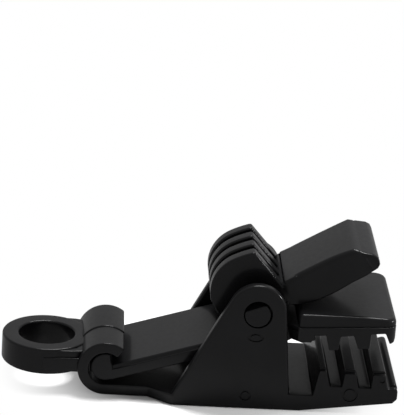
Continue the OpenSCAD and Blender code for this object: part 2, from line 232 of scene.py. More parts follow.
def loft(rings):
    """A solid through rings of equally many points in millimetres from the pivot, closed at both ends."""
    mesh = bmesh.new()
    rows = [[mesh.verts.new(PIVOT + Vector(p) * MM) for p in ring] for ring in rings]
    mesh.faces.new(rows[0])
    mesh.faces.new(rows[-1])
    for a, b in zip(rows, rows[1:]):
        for i in range(len(a)):
            j = (i + 1) % len(a)
            mesh.faces.new((a[i], a[j], b[j], b[i]))
    bmesh.ops.recalc_face_normals(mesh, faces=mesh.faces)
    return mesh


def across(points, low, high):
    """A solid that an outline of x and z sweeps out across the clip, from low to high."""
    return loft([[(x, y, z) for x, z in points] for y in (low, high)])


def upwards(points, low, high):
    """A solid that an outline of x and y sweeps out upwards, from low to high."""
    return loft([[(x, y, z) for x, y in points] for z in (low, high)])


def settle(piece):
    """Turns the result of a piece's modifiers into its own mesh."""
    depsgraph = bpy.context.evaluated_depsgraph_get()
    done = bpy.data.meshes.new_from_object(piece.evaluated_get(depsgraph), preserve_all_data_layers=True,
                                           depsgraph=depsgraph)
    old = piece.data
    piece.modifiers.clear()
    piece.data = done
    bpy.data.meshes.remove(old)
    done.name = piece.name


def discard(piece):
    """Removes a piece and its mesh."""
    data = piece.data
    bpy.data.objects.remove(piece)
    bpy.data.meshes.remove(data)


def add_object(name, data):
    """Adds an object of some data to the scene."""
    made = bpy.data.objects.new(name, data)
    bpy.context.scene.collection.objects.link(made)
    return made


def solid(name, mesh, edge=0.0, rule=None, sharp=28):
    """An object of a closed mesh. Its edges over the sharp angle in degrees are rounded by edge, or by what
    rule gives for an edge's middle in millimetres from the pivot; both radii are in metres."""
    widths = {}
    for i, line in enumerate(mesh.edges):
        if len(line.link_faces) == 2 and math.degrees(line.calc_face_angle(0)) > sharp:
            middle = ((line.verts[0].co + line.verts[1].co) / 2 - PIVOT) / MM
            widths[i] = rule(middle) if rule else edge
    widest = max(widths.values(), default=0)
    if widest:
        layer = mesh.edges.layers.float.new("bevel_weight_edge")
        mesh.edges.ensure_lookup_table()
        for i, width in widths.items():
            mesh.edges[i][layer] = width / widest
    data = bpy.data.meshes.new(name)
    mesh.to_mesh(data)
    mesh.free()
    piece = add_object(name, data)
    if widest:
        bevel = piece.modifiers.new("edges", "BEVEL")
        bevel.limit_method = "WEIGHT"
        bevel.width = widest
        bevel.segments = 3
        bevel.use_clamp_overlap = False
        settle(piece)
    return piece


def combine(piece, others, operation="UNION"):
    """Joins solids to a piece, takes them from it, or keeps what it shares with them, and removes them."""
    for other in others:
        cut = piece.modifiers.new("combine", "BOOLEAN")
        cut.operation = operation
        cut.solver = "MANIFOLD"
        cut.object = other
        settle(piece)
        discard(other)


def finish_piece(piece, body, slot, look, nodes):
    """Gives a moulding its shading, its plastic and its place in the frame."""
    mesh = bmesh.new()
    mesh.from_mesh(piece.data)
    bmesh.ops.remove_doubles(mesh, verts=mesh.verts, dist=MERGE)
    bmesh.ops.dissolve_degenerate(mesh, edges=mesh.edges, dist=MERGE)
    bmesh.ops.delete(mesh, geom=[e for e in mesh.edges if not e.link_faces], context="EDGES")
    open_edges = sum(1 for e in mesh.edges if len(e.link_faces) != 2)
    mesh.to_mesh(piece.data)
    mesh.free()
    if open_edges:
        print(piece.name, "has", open_edges, "edges without two faces")
    piece.data.shade_smooth()
    piece.data.set_sharp_from_angle(angle=math.radians(34))
    even = piece.modifiers.new("even", "WEIGHTED_NORMAL")
    even.keep_sharp = True
    even.weight = 80
    settle(piece)
    piece.data.materials.clear()
    piece.data.materials.append(plastic(slot.replace("_", " "), look))
    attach(piece, body)
    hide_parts(*nodes)


def group_socket(tree, name, kind, way, default=None):
    """Adds a named input or output to a node tree."""
    socket = tree.interface.new_socket(name=name, in_out=way, socket_type=kind)
    if default is not None:
        socket.default_value = default


def calculate(tree, operation, *values):
    """Adds a math node to a tree, fed by sockets and numbers, and gives its result."""
    node = tree.nodes.new("ShaderNodeMath")
    node.operation = operation
    for value, socket in zip(values, node.inputs):
        if isinstance(value, (int, float)):
            socket.default_value = value
        else:
            tree.links.new(value, socket)
    return node.outputs[0]


def grain_group():
    """The plastic's grain as masks and a height, built once for all three mouldings."""
    found = bpy.data.node_groups.get("moulded grain")
    if found:
        return found
    tree = bpy.data.node_groups.new("moulded grain", "ShaderNodeTree")
    group_socket(tree, "Grain size", "NodeSocketFloat", "INPUT", 0.35 * MM)
    group_socket(tree, "Flow size", "NodeSocketFloat", "INPUT", 9 * MM)
    group_socket(tree, "Height", "NodeSocketFloat", "OUTPUT")
    group_socket(tree, "Speckle", "NodeSocketFloat", "OUTPUT")
    group_socket(tree, "Flow", "NodeSocketFloat", "OUTPUT")
    nodes, links = tree.nodes, tree.links
    start, end = nodes.new("NodeGroupInput"), nodes.new("NodeGroupOutput")
    place = nodes.new("ShaderNodeTexCoord")
    for size, out, rough, level in (("Grain size", "Height", 0.55, 3), ("Grain size", "Speckle", 0.7, 5),
                                    ("Flow size", "Flow", 0.5, 2)):
        noise = nodes.new("ShaderNodeTexNoise")
        noise.inputs["Detail"].default_value = level
        noise.inputs["Roughness"].default_value = rough
        links.new(calculate(tree, "DIVIDE", 1, start.outputs[size]), noise.inputs["Scale"])
        if out == "Speckle":
            shift = nodes.new("ShaderNodeMapping")
            shift.inputs["Location"].default_value = (0.031, 0.017, 0.043)
            shift.inputs["Scale"].default_value = (0.28, 0.28, 0.28)
            links.new(place.outputs["Object"], shift.inputs["Vector"])
            links.new(shift.outputs["Vector"], noise.inputs["Vector"])
        else:
            links.new(place.outputs["Object"], noise.inputs["Vector"])
        links.new(noise.outputs["Fac"], end.inputs[out])
    return tree


def plastic(name, look):
    """A black moulded plastic: fine grain in relief, speckles in the gloss and flow marks in the colour."""
    found = bpy.data.materials.get(name)
    if found:
        return found
    material = bpy.data.materials.new(name)
    material.use_nodes = True
    nodes, links = material.node_tree.nodes, material.node_tree.links
    shader = nodes["Principled BSDF"]
    shader.inputs["Specular IOR Level"].default_value = 0.016
    shader.inputs["Coat Weight"].default_value = 0.15
    shader.inputs["Coat Roughness"].default_value = 0.16
    grain = nodes.new("ShaderNodeGroup")
    grain.node_tree = grain_group()
    grain.inputs["Grain size"].default_value = look.grain
    grain.inputs["Flow size"].default_value = look.flow
    tint = nodes.new("ShaderNodeMix")
    tint.data_type = "RGBA"
    deep = Vector(look.colour)
    tint.inputs["A"].default_value = (*(deep * 0.75), 1)
    tint.inputs["B"].default_value = (*(deep * 1.3), 1)
    links.new(grain.outputs["Flow"], tint.inputs["Factor"])
    links.new(tint.outputs["Result"], shader.inputs["Base Color"])
    gloss = nodes.new("ShaderNodeMapRange")
    gloss.inputs["From Min"].default_value = 0.3
    gloss.inputs["From Max"].default_value = 0.7
    gloss.inputs["To Min"].default_value = look.roughness - 0.05
    gloss.inputs["To Max"].default_value = look.roughness + 0.08
    links.new(grain.outputs["Speckle"], gloss.inputs["Value"])
    links.new(gloss.outputs["Result"], shader.inputs["Roughness"])
    bump = nodes.new("ShaderNodeBump")
    bump.inputs["Strength"].default_value = 0.7
    bump.inputs["Distance"].default_value = look.relief
    links.new(grain.outputs["Height"], bump.inputs["Height"])
    links.new(bump.outputs["Normal"], shader.inputs["Normal"])
    return material


def end_tree(tree, geometry, start, end):
    """Ends a Geometry Nodes tree: its copies become real and everything gets the material."""
    real, paint = tree.nodes.new("GeometryNodeRealizeInstances"), tree.nodes.new("GeometryNodeSetMaterial")
    tree.links.new(geometry, real.inputs["Geometry"])
    tree.links.new(real.outputs["Geometry"], paint.inputs["Geometry"])
    tree.links.new(start.outputs["Material"], paint.inputs["Material"])
    tree.links.new(paint.outputs["Geometry"], end.inputs["Geometry"])


def eye_tree():
    """Geometry Nodes that sweep a round-cornered bar round a circle."""
    tree = bpy.data.node_groups.new("rope eye", "GeometryNodeTree")
    group_socket(tree, "Geometry", "NodeSocketGeometry", "INPUT")
    group_socket(tree, "Hole radius", "NodeSocketFloat", "INPUT", 8 * MM)
    group_socket(tree, "Outer radius", "NodeSocketFloat", "INPUT", 12.5 * MM)
    group_socket(tree, "Thickness", "NodeSocketFloat", "INPUT", 7.4 * MM)
    group_socket(tree, "Edge radius", "NodeSocketFloat", "INPUT", 1.2 * MM)
    group_socket(tree, "Centre", "NodeSocketVector", "INPUT")
    group_socket(tree, "Material", "NodeSocketMaterial", "INPUT")
    group_socket(tree, "Geometry", "NodeSocketGeometry", "OUTPUT")
    nodes, links = tree.nodes, tree.links
    start, end = nodes.new("NodeGroupInput"), nodes.new("NodeGroupOutput")
    hole, outside = start.outputs["Hole radius"], start.outputs["Outer radius"]
    path = nodes.new("GeometryNodeCurvePrimitiveCircle")
    path.inputs["Resolution"].default_value = 96
    links.new(calculate(tree, "MULTIPLY", calculate(tree, "ADD", hole, outside), 0.5), path.inputs["Radius"])
    bar = nodes.new("GeometryNodeCurvePrimitiveQuadrilateral")
    links.new(calculate(tree, "SUBTRACT", outside, hole), bar.inputs["Width"])
    links.new(start.outputs["Thickness"], bar.inputs["Height"])
    fillet = nodes.new("GeometryNodeFilletCurve")
    fillet.mode = "POLY"
    fillet.inputs["Count"].default_value = 4
    links.new(bar.outputs["Curve"], fillet.inputs["Curve"])
    links.new(start.outputs["Edge radius"], fillet.inputs["Radius"])
    sweep = nodes.new("GeometryNodeCurveToMesh")
    links.new(path.outputs["Curve"], sweep.inputs["Curve"])
    links.new(fillet.outputs["Curve"], sweep.inputs["Profile Curve"])
    move = nodes.new("GeometryNodeTransform")
    links.new(sweep.outputs["Mesh"], move.inputs["Geometry"])
    links.new(start.outputs["Centre"], move.inputs["Translation"])
    end_tree(tree, move.outputs["Geometry"], start, end)
    return tree


def row_tree():
    """Geometry Nodes that repeat a piece across the clip at an even pitch, about the middle."""
    tree = bpy.data.node_groups.new("row across", "GeometryNodeTree")
    group_socket(tree, "Geometry", "NodeSocketGeometry", "INPUT")
    group_socket(tree, "Count", "NodeSocketInt", "INPUT", 4)
    group_socket(tree, "Pitch", "NodeSocketFloat", "INPUT", 6 * MM)
    group_socket(tree, "Material", "NodeSocketMaterial", "INPUT")
    group_socket(tree, "Geometry", "NodeSocketGeometry", "OUTPUT")
    nodes, links = tree.nodes, tree.links
    start, end = nodes.new("NodeGroupInput"), nodes.new("NodeGroupOutput")
    gaps = calculate(tree, "SUBTRACT", start.outputs["Count"], 1)
    half = calculate(tree, "MULTIPLY", gaps, -0.5)
    first, step = nodes.new("ShaderNodeCombineXYZ"), nodes.new("ShaderNodeCombineXYZ")
    links.new(calculate(tree, "MULTIPLY", half, start.outputs["Pitch"]), first.inputs["Y"])
    links.new(start.outputs["Pitch"], step.inputs["Y"])
    line = nodes.new("GeometryNodeMeshLine")
    links.new(start.outputs["Count"], line.inputs["Count"])
    links.new(first.outputs[0], line.inputs["Start Location"])
    links.new(step.outputs[0], line.inputs["Offset"])
    spread = nodes.new("GeometryNodeInstanceOnPoints")
    links.new(line.outputs["Mesh"], spread.inputs["Points"])
    links.new(start.outputs["Geometry"], spread.inputs["Instance"])
    end_tree(tree, spread.outputs["Instances"], start, end)
    return tree


def run_tree(piece, tree, **inputs):
    """Puts a tree on a piece with its inputs set, and turns the result into the piece's mesh."""
    modifier = piece.modifiers.new(tree.name, "NODES")
    modifier.node_group = tree
    for item in tree.interface.items_tree:
        if item.in_out == "INPUT" and item.name in inputs:
            modifier[item.identifier] = inputs[item.name]
    settle(piece)


# The cheeks: the centre and radius of their round top, the foot of their back edge along the clip, and the
# foot of their front edge, where the lower jaw's floor starts
CHEEK_TOP, CHEEK_RADIUS = (-0.2, 0.42), 8.1
CHEEK_BACK = -22.4
JAW_FLOOR = (10.3, -23.5)
# Along the clip: where the tail plate starts to widen, its front end between the cheeks, and the back end of
# the block that joins the cheeks
PLATE_WIDENS, PLATE_FRONT, BLOCK_BACK = -29, -19, -24
# Lower jaw's teeth from back to front, each from its back foot over its crest to its front foot
LOWER_TEETH = [[(16.9, -23.5), (18.3, -15.4), (20.15, -15.4), (21.5, -20.5)],
               [(24.8, -20.5), (25.4, -15.9), (28.5, -15.9), (29.5, -20.5)],
               [(33.0, -20.5), (33.2, -15.9), (36.8, -15.9), (37.5, -20.5)]]
# The hook from the side: its centre, its outer and inner radius, the turns at which its lip ends outside and
# inside, the outside turn from which the seam step fades, and the front end of its foot
HOOK_CENTRE, HOOK_OUTER, HOOK_INNER = (-41.0, BASE + 7.8), 7.8, 4.7
LIP_OUTSIDE, LIP_INSIDE, SEAM_FADE = 50, 47, 220
HOOK_FOOT = -33.3
# The rope eye's centre, and the fork of the neck that holds it: the far prong's outer and inner edge, and
# the heights between which it stands
EYE_CENTRE = (-57.8, 0, BASE + 8.5)
NECK_OUTSIDE, NECK_INSIDE = [(-57.8, 12.2), (-50, 11.9), (-45, 10.8)], [(-57.8, 10.6), (-49.3, 9.2)]
NECK_HEIGHTS = (BASE + 8, BASE + 11.9)
# The fork-shaped foot under the neck, in the same way
FOOT_OUTSIDE, FOOT_INSIDE = [(-58.5, 12.8), (-45, 12.4)], [(-58.5, 10.6), (-49.3, 9.2)]
FOOT_HEIGHTS = (BASE + 5.9, BASE + 10)
# Ejector marks on the near side: centre, radius, radius of the button inside or 0, and height over width
MARKS = [((27.2, -22.6), 2.2, 1.5, 1), ((35.9, -18), 0.7, 0, 1), ((-0.2, -6.8), 2.2, 1.3, 0.6),
         ((-1.9, -24.3), 1.6, 1.0, 1)]


def jaw_profile(drop):
    """The lower jaw's outline from the floor in front of the cheeks, over the teeth and the front rim, to the
    ramp underneath. Drop lowers the crests and the rim."""
    points = [JAW_FLOOR]
    for back_foot, back, front, front_foot in LOWER_TEETH:
        points += [back_foot, (back[0], back[1] - drop), (front[0], front[1] - drop), front_foot]
    rim = [(38.4, -20.5), (39.3, -19.7 - drop), (40.1, -19.7 - drop), (40.5, -20.7 - drop)]
    ramp = [(40.5, -23.5), (39.3, -24.8), (13.2, BASE)]
    return points + rim + ramp


def side_plate(sizes, side):
    """A cheek with the base's and the jaw's edge under it, as one flat side."""
    back = (CHEEK_BACK, BASE + sizes.base / MM)
    outline = [(CHEEK_BACK, BASE), back]
    outline += arc(CHEEK_TOP, CHEEK_RADIUS, touch(back, CHEEK_TOP, CHEEK_RADIUS, -1) % 360,
                   touch(JAW_FLOOR, CHEEK_TOP, CHEEK_RADIUS, 1), 28)
    outline += jaw_profile(sizes.strip_drop / MM)
    outer, inner = sizes.jaw_half / MM, (sizes.jaw_half - sizes.cheek) / MM

    def side_edge(middle):
        on_cheek = middle.z > JAW_FLOOR[1] + 0.3 and middle.x < JAW_FLOOR[0] + 0.7
        at_back = middle.x < CHEEK_BACK + 4.4
        return sizes.cheek_edge if on_cheek or at_back else sizes.tooth_edge

    low, high = sorted((side * outer, side * inner))
    return solid("side", across(outline[::-1], low, high), rule=side_edge)


def hook_half(sizes, low, high, rise):
    """A stretch of the hook with its foot on the base. Rise lifts its outside and fades towards the base."""
    bottom = 270
    fade = bottom - SEAM_FADE
    outline = [on_circle(HOOK_CENTRE, HOOK_OUTER + rise * min(1, (bottom - turn) / fade), turn)
               for turn in range(LIP_OUTSIDE, bottom + 1, 5)]
    outline += [(HOOK_FOOT, BASE), (HOOK_FOOT, BASE + sizes.base / MM)]
    outline += arc(HOOK_CENTRE, HOOK_INNER, bottom, LIP_INSIDE, 36)
    return solid("hook", across(outline, low, high), edge=sizes.plate_edge)


class OBJECT_OT_clip_body(Operator):
    """Makes the body: rope eye, hinge hook, base, cheeks and lower jaw in one moulding"""
    bl_idname = "object.clip_body"
    bl_label = "Clip body"

    def execute(self, context):
        sizes = context.scene.clip_body
        half, tail = sizes.jaw_half / MM, sizes.tail_half / MM
        floor = BASE + sizes.base / MM
        inside = half - sizes.strip / MM
        profile = [(BLOCK_BACK, floor), (JAW_FLOOR[0], floor)] + jaw_profile(0) + [(BLOCK_BACK, BASE)]
        block = solid("block", across(profile[::-1], -inside, inside), edge=sizes.tooth_edge)
        far_half = [(HOOK_CENTRE[0], tail), (PLATE_WIDENS, tail), (CHEEK_BACK, half), (PLATE_FRONT, half)]
        plate = solid("plate", upwards(mirrored(far_half), BASE, floor), edge=sizes.plate_edge)
        hooks = [hook_half(sizes, -tail, 0, 0), hook_half(sizes, -2, tail, sizes.seam / MM)]
        ring = solid("ring", bmesh.new())
        run_tree(ring, eye_tree(), **{
            "Hole radius": sizes.hole, "Outer radius": sizes.eye, "Thickness": sizes.eye_height,
            "Edge radius": sizes.eye_edge, "Centre": PIVOT + Vector(EYE_CENTRE) * MM})
        foot = solid("foot", upwards(mirrored(FOOT_OUTSIDE) + mirrored(FOOT_INSIDE)[::-1], *FOOT_HEIGHTS),
                     edge=sizes.foot_edge)
        neck = solid("neck", upwards(mirrored(NECK_OUTSIDE) + mirrored(NECK_INSIDE)[::-1], *NECK_HEIGHTS),
                     edge=sizes.plate_edge)
        piece = side_plate(sizes, -1)
        piece.name = "body_moulding"
        combine(piece, [side_plate(sizes, 1), block, plate, *hooks, ring, foot, neck])
        bores = solid("bores", across(circle((0, 0), sizes.bore / MM, 64), -half - 1, half + 1))
        marks = []
        for centre, radius, button, flat in MARKS:
            mark = solid("mark", across(oval(centre, radius, flat), -half - 1, -half + sizes.mark / MM))
            if button:
                left_standing = solid("button", across(oval(centre, button, flat), -half - 2, -half + 1))
                combine(mark, [left_standing], "DIFFERENCE")
            marks.append(mark)
        combine(piece, [bores, *marks], "DIFFERENCE")
        finish_piece(piece, "clip_body", "body_plastic", context.scene.plastic_look,
                     ["rope_eye", "hinge_hook", "base_plate", "left_cheek", "right_cheek", "lower_jaw"])
        return {"FINISHED"}


# The arm: the slope of its upper face in degrees, and stations between the bead and the saddle, each with its
# place along that face from the hinge and the heights of the arm's top and underside over it
ARM_SLOPE = 17.62
ARM_STATIONS = [(1.5, 0, -4.1), (12, 0, -4.2), (24, 0, -4.35), (30.4, 0, -4.45)]
# How far the ledge along the arm's sides lies under its top
ARM_LEDGE_DROP = 1.1
# The saddle under the cam: place along the arm, radius, depth, height of the arm's underside there, and the
# stations' distances from its middle
SADDLE_REACH, SADDLE_RADIUS, SADDLE_DEPTH, SADDLE_UNDERSIDE = 41.2, 17, 2.3, -5.35
SADDLE_STEPS = (-8.5, -7, -5, -2.5, 0, 2.5, 5, 7, 8.5)
# The hinge bead from the hinge: the turns between which it is round, the notch over the arm in x and z, and
# its foot on the arm, given as the stations are
BEAD_START, BEAD_END = 72, 325
BEAD_NOTCH = [(2.4, -1.2), (1.9, 0.6), (1.4, 1.8)]
BEAD_FOOT = [(0, -1), (3, -1), (5, -4.1), (1.2, -4.05), (0, -3.9)]
# The upper jaw from its back and its top: its plate, and its block with notches and teeth in turn
JAW_BACK = along("upper_jaw", 0)[0]
JAW_TOP = along("upper_jaw", 2)[1]
JAW_LENGTH = 27.2
JAW_PLATE = [(0, -5), (0, -0.15), (2.8, 0), (18.6, 0), (24, -0.2), (JAW_LENGTH, -0.45), (JAW_LENGTH, -4)]
JAW_BLOCK = [(0, -3.8), (0, -7.2), (0.5, -8), (3.9, -8), (4.4, -5.95), (5.7, -5.9),
             (7.8, -5.66), (8.95, -10.1), (11.51, -9.8), (11.91, -5.8), (15.45, -5.4),
             (17.0, -9.3), (20.16, -8.9), (20.29, -4.7), (24.21, -4.3),
             (25.6, -7.47), (26.79, -7.27), (JAW_LENGTH, -6.1), (JAW_LENGTH, -2.3)]


class OBJECT_OT_clip_arm(Operator):
    """Makes the jaw arm: hinge bead, arm and toothed upper jaw in one moulding"""
    bl_idname = "object.clip_arm"
    bl_label = "Jaw arm"

    def execute(self, context):
        body, sizes = context.scene.clip_body, context.scene.clip_arm
        half, tail = body.jaw_half / MM, body.tail_half / MM
        hinge = (HINGE - PIVOT) / MM
        slope = math.radians(ARM_SLOPE)

        def at(s, t, y):
            return (hinge.x + s * math.cos(slope) - t * math.sin(slope), y,
                    hinge.z + s * math.sin(slope) + t * math.cos(slope))

        length = (JAW_BACK - hinge.x) / math.cos(slope)
        dip = SADDLE_RADIUS - SADDLE_DEPTH
        saddle = [(SADDLE_REACH + x, dip - math.sqrt(SADDLE_RADIUS ** 2 - x * x), SADDLE_UNDERSIDE)
                  for x in SADDLE_STEPS]
        jaw_end = [(length - 2.8, 0, -4.8), (length, 0, -4.8), (length + 3.8, -1.6, -4.9)]
        rings = []
        for s, top, low in ARM_STATIONS + saddle + jaw_end:
            wide = half if s > length - 1 else tail
            inner, ledge = wide - sizes.arm_ledge / MM, top - ARM_LEDGE_DROP
            rings.append([at(s, top, -inner), at(s, top, inner), at(s, ledge, inner), at(s, ledge, wide),
                          at(s, low, wide), at(s, low, -wide), at(s, ledge, -wide), at(s, ledge, -inner)])

        def arm_edge(middle):
            away = middle - hinge
            height = away.z * math.cos(slope) - away.x * math.sin(slope)
            on_ledge = abs(middle.y) > tail - 0.3 and height > -2.8
            return sizes.arm_ledge_edge if on_ledge else sizes.arm_edge

        arm = solid("arm", loft(rings), rule=arm_edge, sharp=40)
        outline = arc((hinge.x, hinge.z), sizes.bead / MM, BEAD_START, BEAD_END, 48)
        outline += [(hinge.x + x, hinge.z + z) for x, z in BEAD_NOTCH]
        bead = solid("bead", across(outline, -tail, tail), edge=sizes.bead_edge, sharp=40)
        foot = solid("bead_foot", loft([[at(s, t, y) for s, t in BEAD_FOOT] for y in (-tail, tail)]),
                     edge=sizes.foot_edge)

        def plate_edge(middle):
            return sizes.jaw_edge if JAW_TOP - middle.z < 3 else 0

        def block_edge(middle):
            return sizes.ledge_edge if JAW_TOP - middle.z < 3.9 else sizes.tooth_edge

        parts = []
        front, radius = JAW_BACK + JAW_LENGTH, sizes.corner / MM
        for profile, wide, rule in ((JAW_PLATE[::-1], half - sizes.ledge / MM, plate_edge),
                                    (JAW_BLOCK, half, block_edge)):
            part = solid("jaw", across([(JAW_BACK + x, JAW_TOP + z) for x, z in profile], -half, half))
            # Only what lies inside the plan is kept, so it reaches past the part behind, above and below
            plan = mirrored([(JAW_BACK - 3, wide)] + arc((front - radius, wide - radius), radius, 90, 0, 10))
            combine(part, [solid("plan", upwards(plan, -30, 10))], "INTERSECT")
            mesh = bmesh.new()
            mesh.from_mesh(part.data)
            discard(part)
            bmesh.ops.remove_doubles(mesh, verts=mesh.verts, dist=MERGE)
            bmesh.ops.dissolve_limit(mesh, angle_limit=math.radians(1), verts=mesh.verts, edges=mesh.edges)
            parts.append(solid("jaw", mesh, rule=rule))
        piece, block = parts
        piece.name = "arm_moulding"
        combine(piece, [block, arm, bead, foot])
        finish_piece(piece, "jaw_arm", "arm_plastic", context.scene.plastic_look,
                     ["hinge_bead", "arm_plate", "upper_jaw"])
        return {"FINISHED"}


# The lever's slope in degrees. Its shapes are given along the lever and square to it, from the pivot
LEVER_SLOPE = 29.9
# Its crowned back, its rims, its hollow's floor at the walls and in the middle, and half its width
CROWN = [(6.0, 2.9), (10.0, 2.95), (14.4, 3.25), (20.0, 3.4), (24.0, 3.45), (28.0, 3.35), (31.2, 3.1)]
RIM = [(6.0, -3.0), (9.3, -4.7), (12.0, -5.6), (14.8, -6.2), (17.8, -6.4), (20.6, -6.4), (22.6, -6.3),
       (26.4, -5.8), (30.4, -5.4), (34.0, -4.7), (36.5, -3.7)]
FLOOR_AT_WALL = [(6.0, -4.6), (9.3, -3.4), (13.5, -2.5), (17.5, -2.0), (23.8, -1.7), (29.4, -2.05),
                 (33.4, -3.9)]
FLOOR_IN_MIDDLE = [(6.0, -1.6), (9.3, -0.7), (13.5, 0.0), (23.8, 0.15), (29.4, -0.1), (33.4, -1.6)]
LEVER_SIDES = [(0, 11.3), (8.2, 11.5), (10.5, 11.7), (14.4, 11.6), (24.0, 11.7), (28.0, 12.1), (31.2, 12.7),
               (36.5, 13.65)]
# Where the hollow stretch starts and ends; its last ring is drawn in by the tuck, so that it ends in the tip
CHANNEL_START, CHANNEL_END, TUCK = 8.2, 33.2, 0.35
# How steeply the back falls past the crown's last point, and the least depth of the hollow
CROWN_FALL, LEAST_DEPTH = 0.8, 0.3
# The solid tip in outline, and the groove across the back where the lever leaves the cam
TIP = [(31.8, 2.5), (35.3, -0.2), (36.1, -1.4), (36.1, -2.7), (35.8, -3.7), (34.8, -4.55), (32.6, -5.0)]
GROOVE, GROOVE_HALF = [(9.4, 1.6), (9.9, 1.6), (9.9, 6), (9.4, 6)], 11
# The root between the cam and the lever in x and z, and half its width
ROOT, ROOT_HALF = [(6.9, 7.4), (10.5, 9.4), (12.5, 6.0), (8.6, 1.2), (7.7, 1.0)], 11.4
# The cam from the side: the round back's centre and radius, the radius of the flatter top, the turns between
# which the top runs, and the direction square to the ribs' front flank
CAM_CENTRE, CAM_RADIUS, CAM_TOP_RADIUS = (-2.36, 3.71), 10.9, 30
CAM_PEAK, CAM_BACK = 106.3, 118.3
FLANK = (0.745, 0.667)
# The trunnions' centre, and how far out the hubs and trunnions start, the hubs end and the trunnions end
PIN_CENTRE = (-0.1, -0.1)
STUB_START, HUB_END, PIN_END = 10.5, 15.0, 18.4
# The chamfer at each trunnion's end: its lean in degrees, its height over the axis there, and its steepness
CHAMFER_LEAN, CHAMFER_HEIGHT, CHAMFER_RATIO = 21, 1.8, 2


def cam_outline(inset):
    """The cam from the side. With an inset it is the core between the ribs, whose foot reaches the lever."""
    top_centre = on_circle(CAM_CENTRE, CAM_RADIUS - CAM_TOP_RADIUS, CAM_BACK)
    points = arc(top_centre, CAM_TOP_RADIUS - inset, CAM_PEAK, CAM_BACK, 8)
    points += arc(CAM_CENTRE, CAM_RADIUS - inset, 121, 350, 60)
    if inset:
        points = [(x, z) for x, z in points if x < 0 or z < 6]
        return points + [(8.3, 0.4), (7.3, 4.6), (7.8 - FLANK[0] * inset, 5.7 - FLANK[1] * inset)]
    return points + arc(CAM_CENTRE, CAM_RADIUS, 350, 372, 6)[1:] + [(7.0, 5.9)]


class OBJECT_OT_clip_lever(Operator):
    """Makes the lever: ribbed cam, hollow thumb lever and both trunnions in one moulding"""
    bl_idname = "object.clip_lever"
    bl_label = "Cam lever"

    def execute(self, context):
        sizes = context.scene.clip_lever
        slope = math.radians(LEVER_SLOPE)

        def at(u, v, y):
            return (u * math.cos(slope) - v * math.sin(slope), y, u * math.sin(slope) + v * math.cos(slope))

        rib_half = sizes.rib_width / MM / 2
        rib = solid("rib", across(cam_outline(0), -rib_half, rib_half), edge=sizes.rib_edge)
        run_tree(rib, row_tree(), Count=sizes.rib_count, Pitch=sizes.rib_pitch)
        reach = ((sizes.rib_count - 1) * sizes.rib_pitch + sizes.rib_width) / MM / 2 - 1
        core = solid("core", across(cam_outline(sizes.groove / MM), -reach, reach))
        wall = sizes.wall / MM
        rings = []
        for step in range(round(CHANNEL_END - CHANNEL_START) + 1):
            u = CHANNEL_START + step
            tuck = TUCK if u > CHANNEL_END - 0.5 else 0
            past = max(0, u - CROWN[-1][0])
            crown = curve_through(CROWN, u - past) - CROWN_FALL * past - tuck
            wide = curve_through(LEVER_SIDES, u) - tuck
            rim, inner = curve_through(RIM, u), wide - wall
            edge_floor = max(curve_through(FLOOR_AT_WALL, u), rim + LEAST_DEPTH)
            middle_floor = curve_through(FLOOR_IN_MIDDLE, u)
            ring = [at(u, crown, -wide), at(u, crown, wide), at(u, rim, wide), at(u, rim, inner)]
            ring += [at(u, middle_floor + (edge_floor - middle_floor) * (k / 6) ** 2, k / 6 * inner)
                     for k in range(6, -7, -1)]
            ring += [at(u, rim, -inner), at(u, rim, -wide)]
            rings.append(ring)

        def lever_edge(middle):
            u = middle.x * math.cos(slope) + middle.z * math.sin(slope)
            v = middle.z * math.cos(slope) - middle.x * math.sin(slope)
            if u < CHANNEL_START + 0.1 or abs(u - CHANNEL_END) < 0.2:
                return 0
            if v > -1.8:
                return sizes.back_edge
            outside = abs(middle.y) > curve_through(LEVER_SIDES, u) - wall / 2
            return sizes.rim_edge if outside else sizes.hollow_edge

        piece = solid("channel", loft(rings), rule=lever_edge, sharp=35)
        sides = [[at(u, v, side * curve_through(LEVER_SIDES, u)) for u, v in TIP] for side in (-1, 1)]
        tip = solid("tip", loft(sides), rule=lever_edge, sharp=60)
        root = solid("root", across(ROOT, -ROOT_HALF, ROOT_HALF), edge=sizes.rim_edge)
        lean = math.radians(CHAMFER_LEAN)
        upward = Vector((-math.sin(lean), 0, math.cos(lean)))
        stubs = []
        for side in (-1, 1):
            low, high = sorted((side * STUB_START, side * HUB_END))
            stubs.append(solid("hub", across(circle((0, 0), sizes.hub / MM, 48), low, high),
                               edge=sizes.pin_edge))
            low, high = sorted((side * STUB_START, side * PIN_END))
            mesh = across(circle(PIN_CENTRE, sizes.pin / MM, 48), low, high)
            place = PIVOT + (upward * CHAMFER_HEIGHT + Vector((0, side * PIN_END, 0))) * MM
            bmesh.ops.bisect_plane(mesh, geom=[*mesh.verts, *mesh.edges, *mesh.faces], dist=1e-7,
                                   plane_co=place, plane_no=upward * CHAMFER_RATIO + Vector((0, side, 0)),
                                   clear_outer=True)
            bmesh.ops.holes_fill(mesh, edges=[e for e in mesh.edges if len(e.link_faces) == 1])
            bmesh.ops.recalc_face_normals(mesh, faces=mesh.faces)
            stubs.append(solid("trunnion", mesh, edge=sizes.pin_edge))
        piece.name = "lever_moulding"
        combine(piece, [tip, root])
        groove = loft([[at(u, v, y) for u, v in GROOVE] for y in (-GROOVE_HALF, GROOVE_HALF)])
        combine(piece, [solid("groove", groove)], "DIFFERENCE")
        combine(piece, [core, rib, *stubs])
        finish_piece(piece, "cam_lever", "lever_plastic", context.scene.plastic_look,
                     ["cam", "thumb_lever", "left_trunnion", "right_trunnion"])
        return {"FINISHED"}


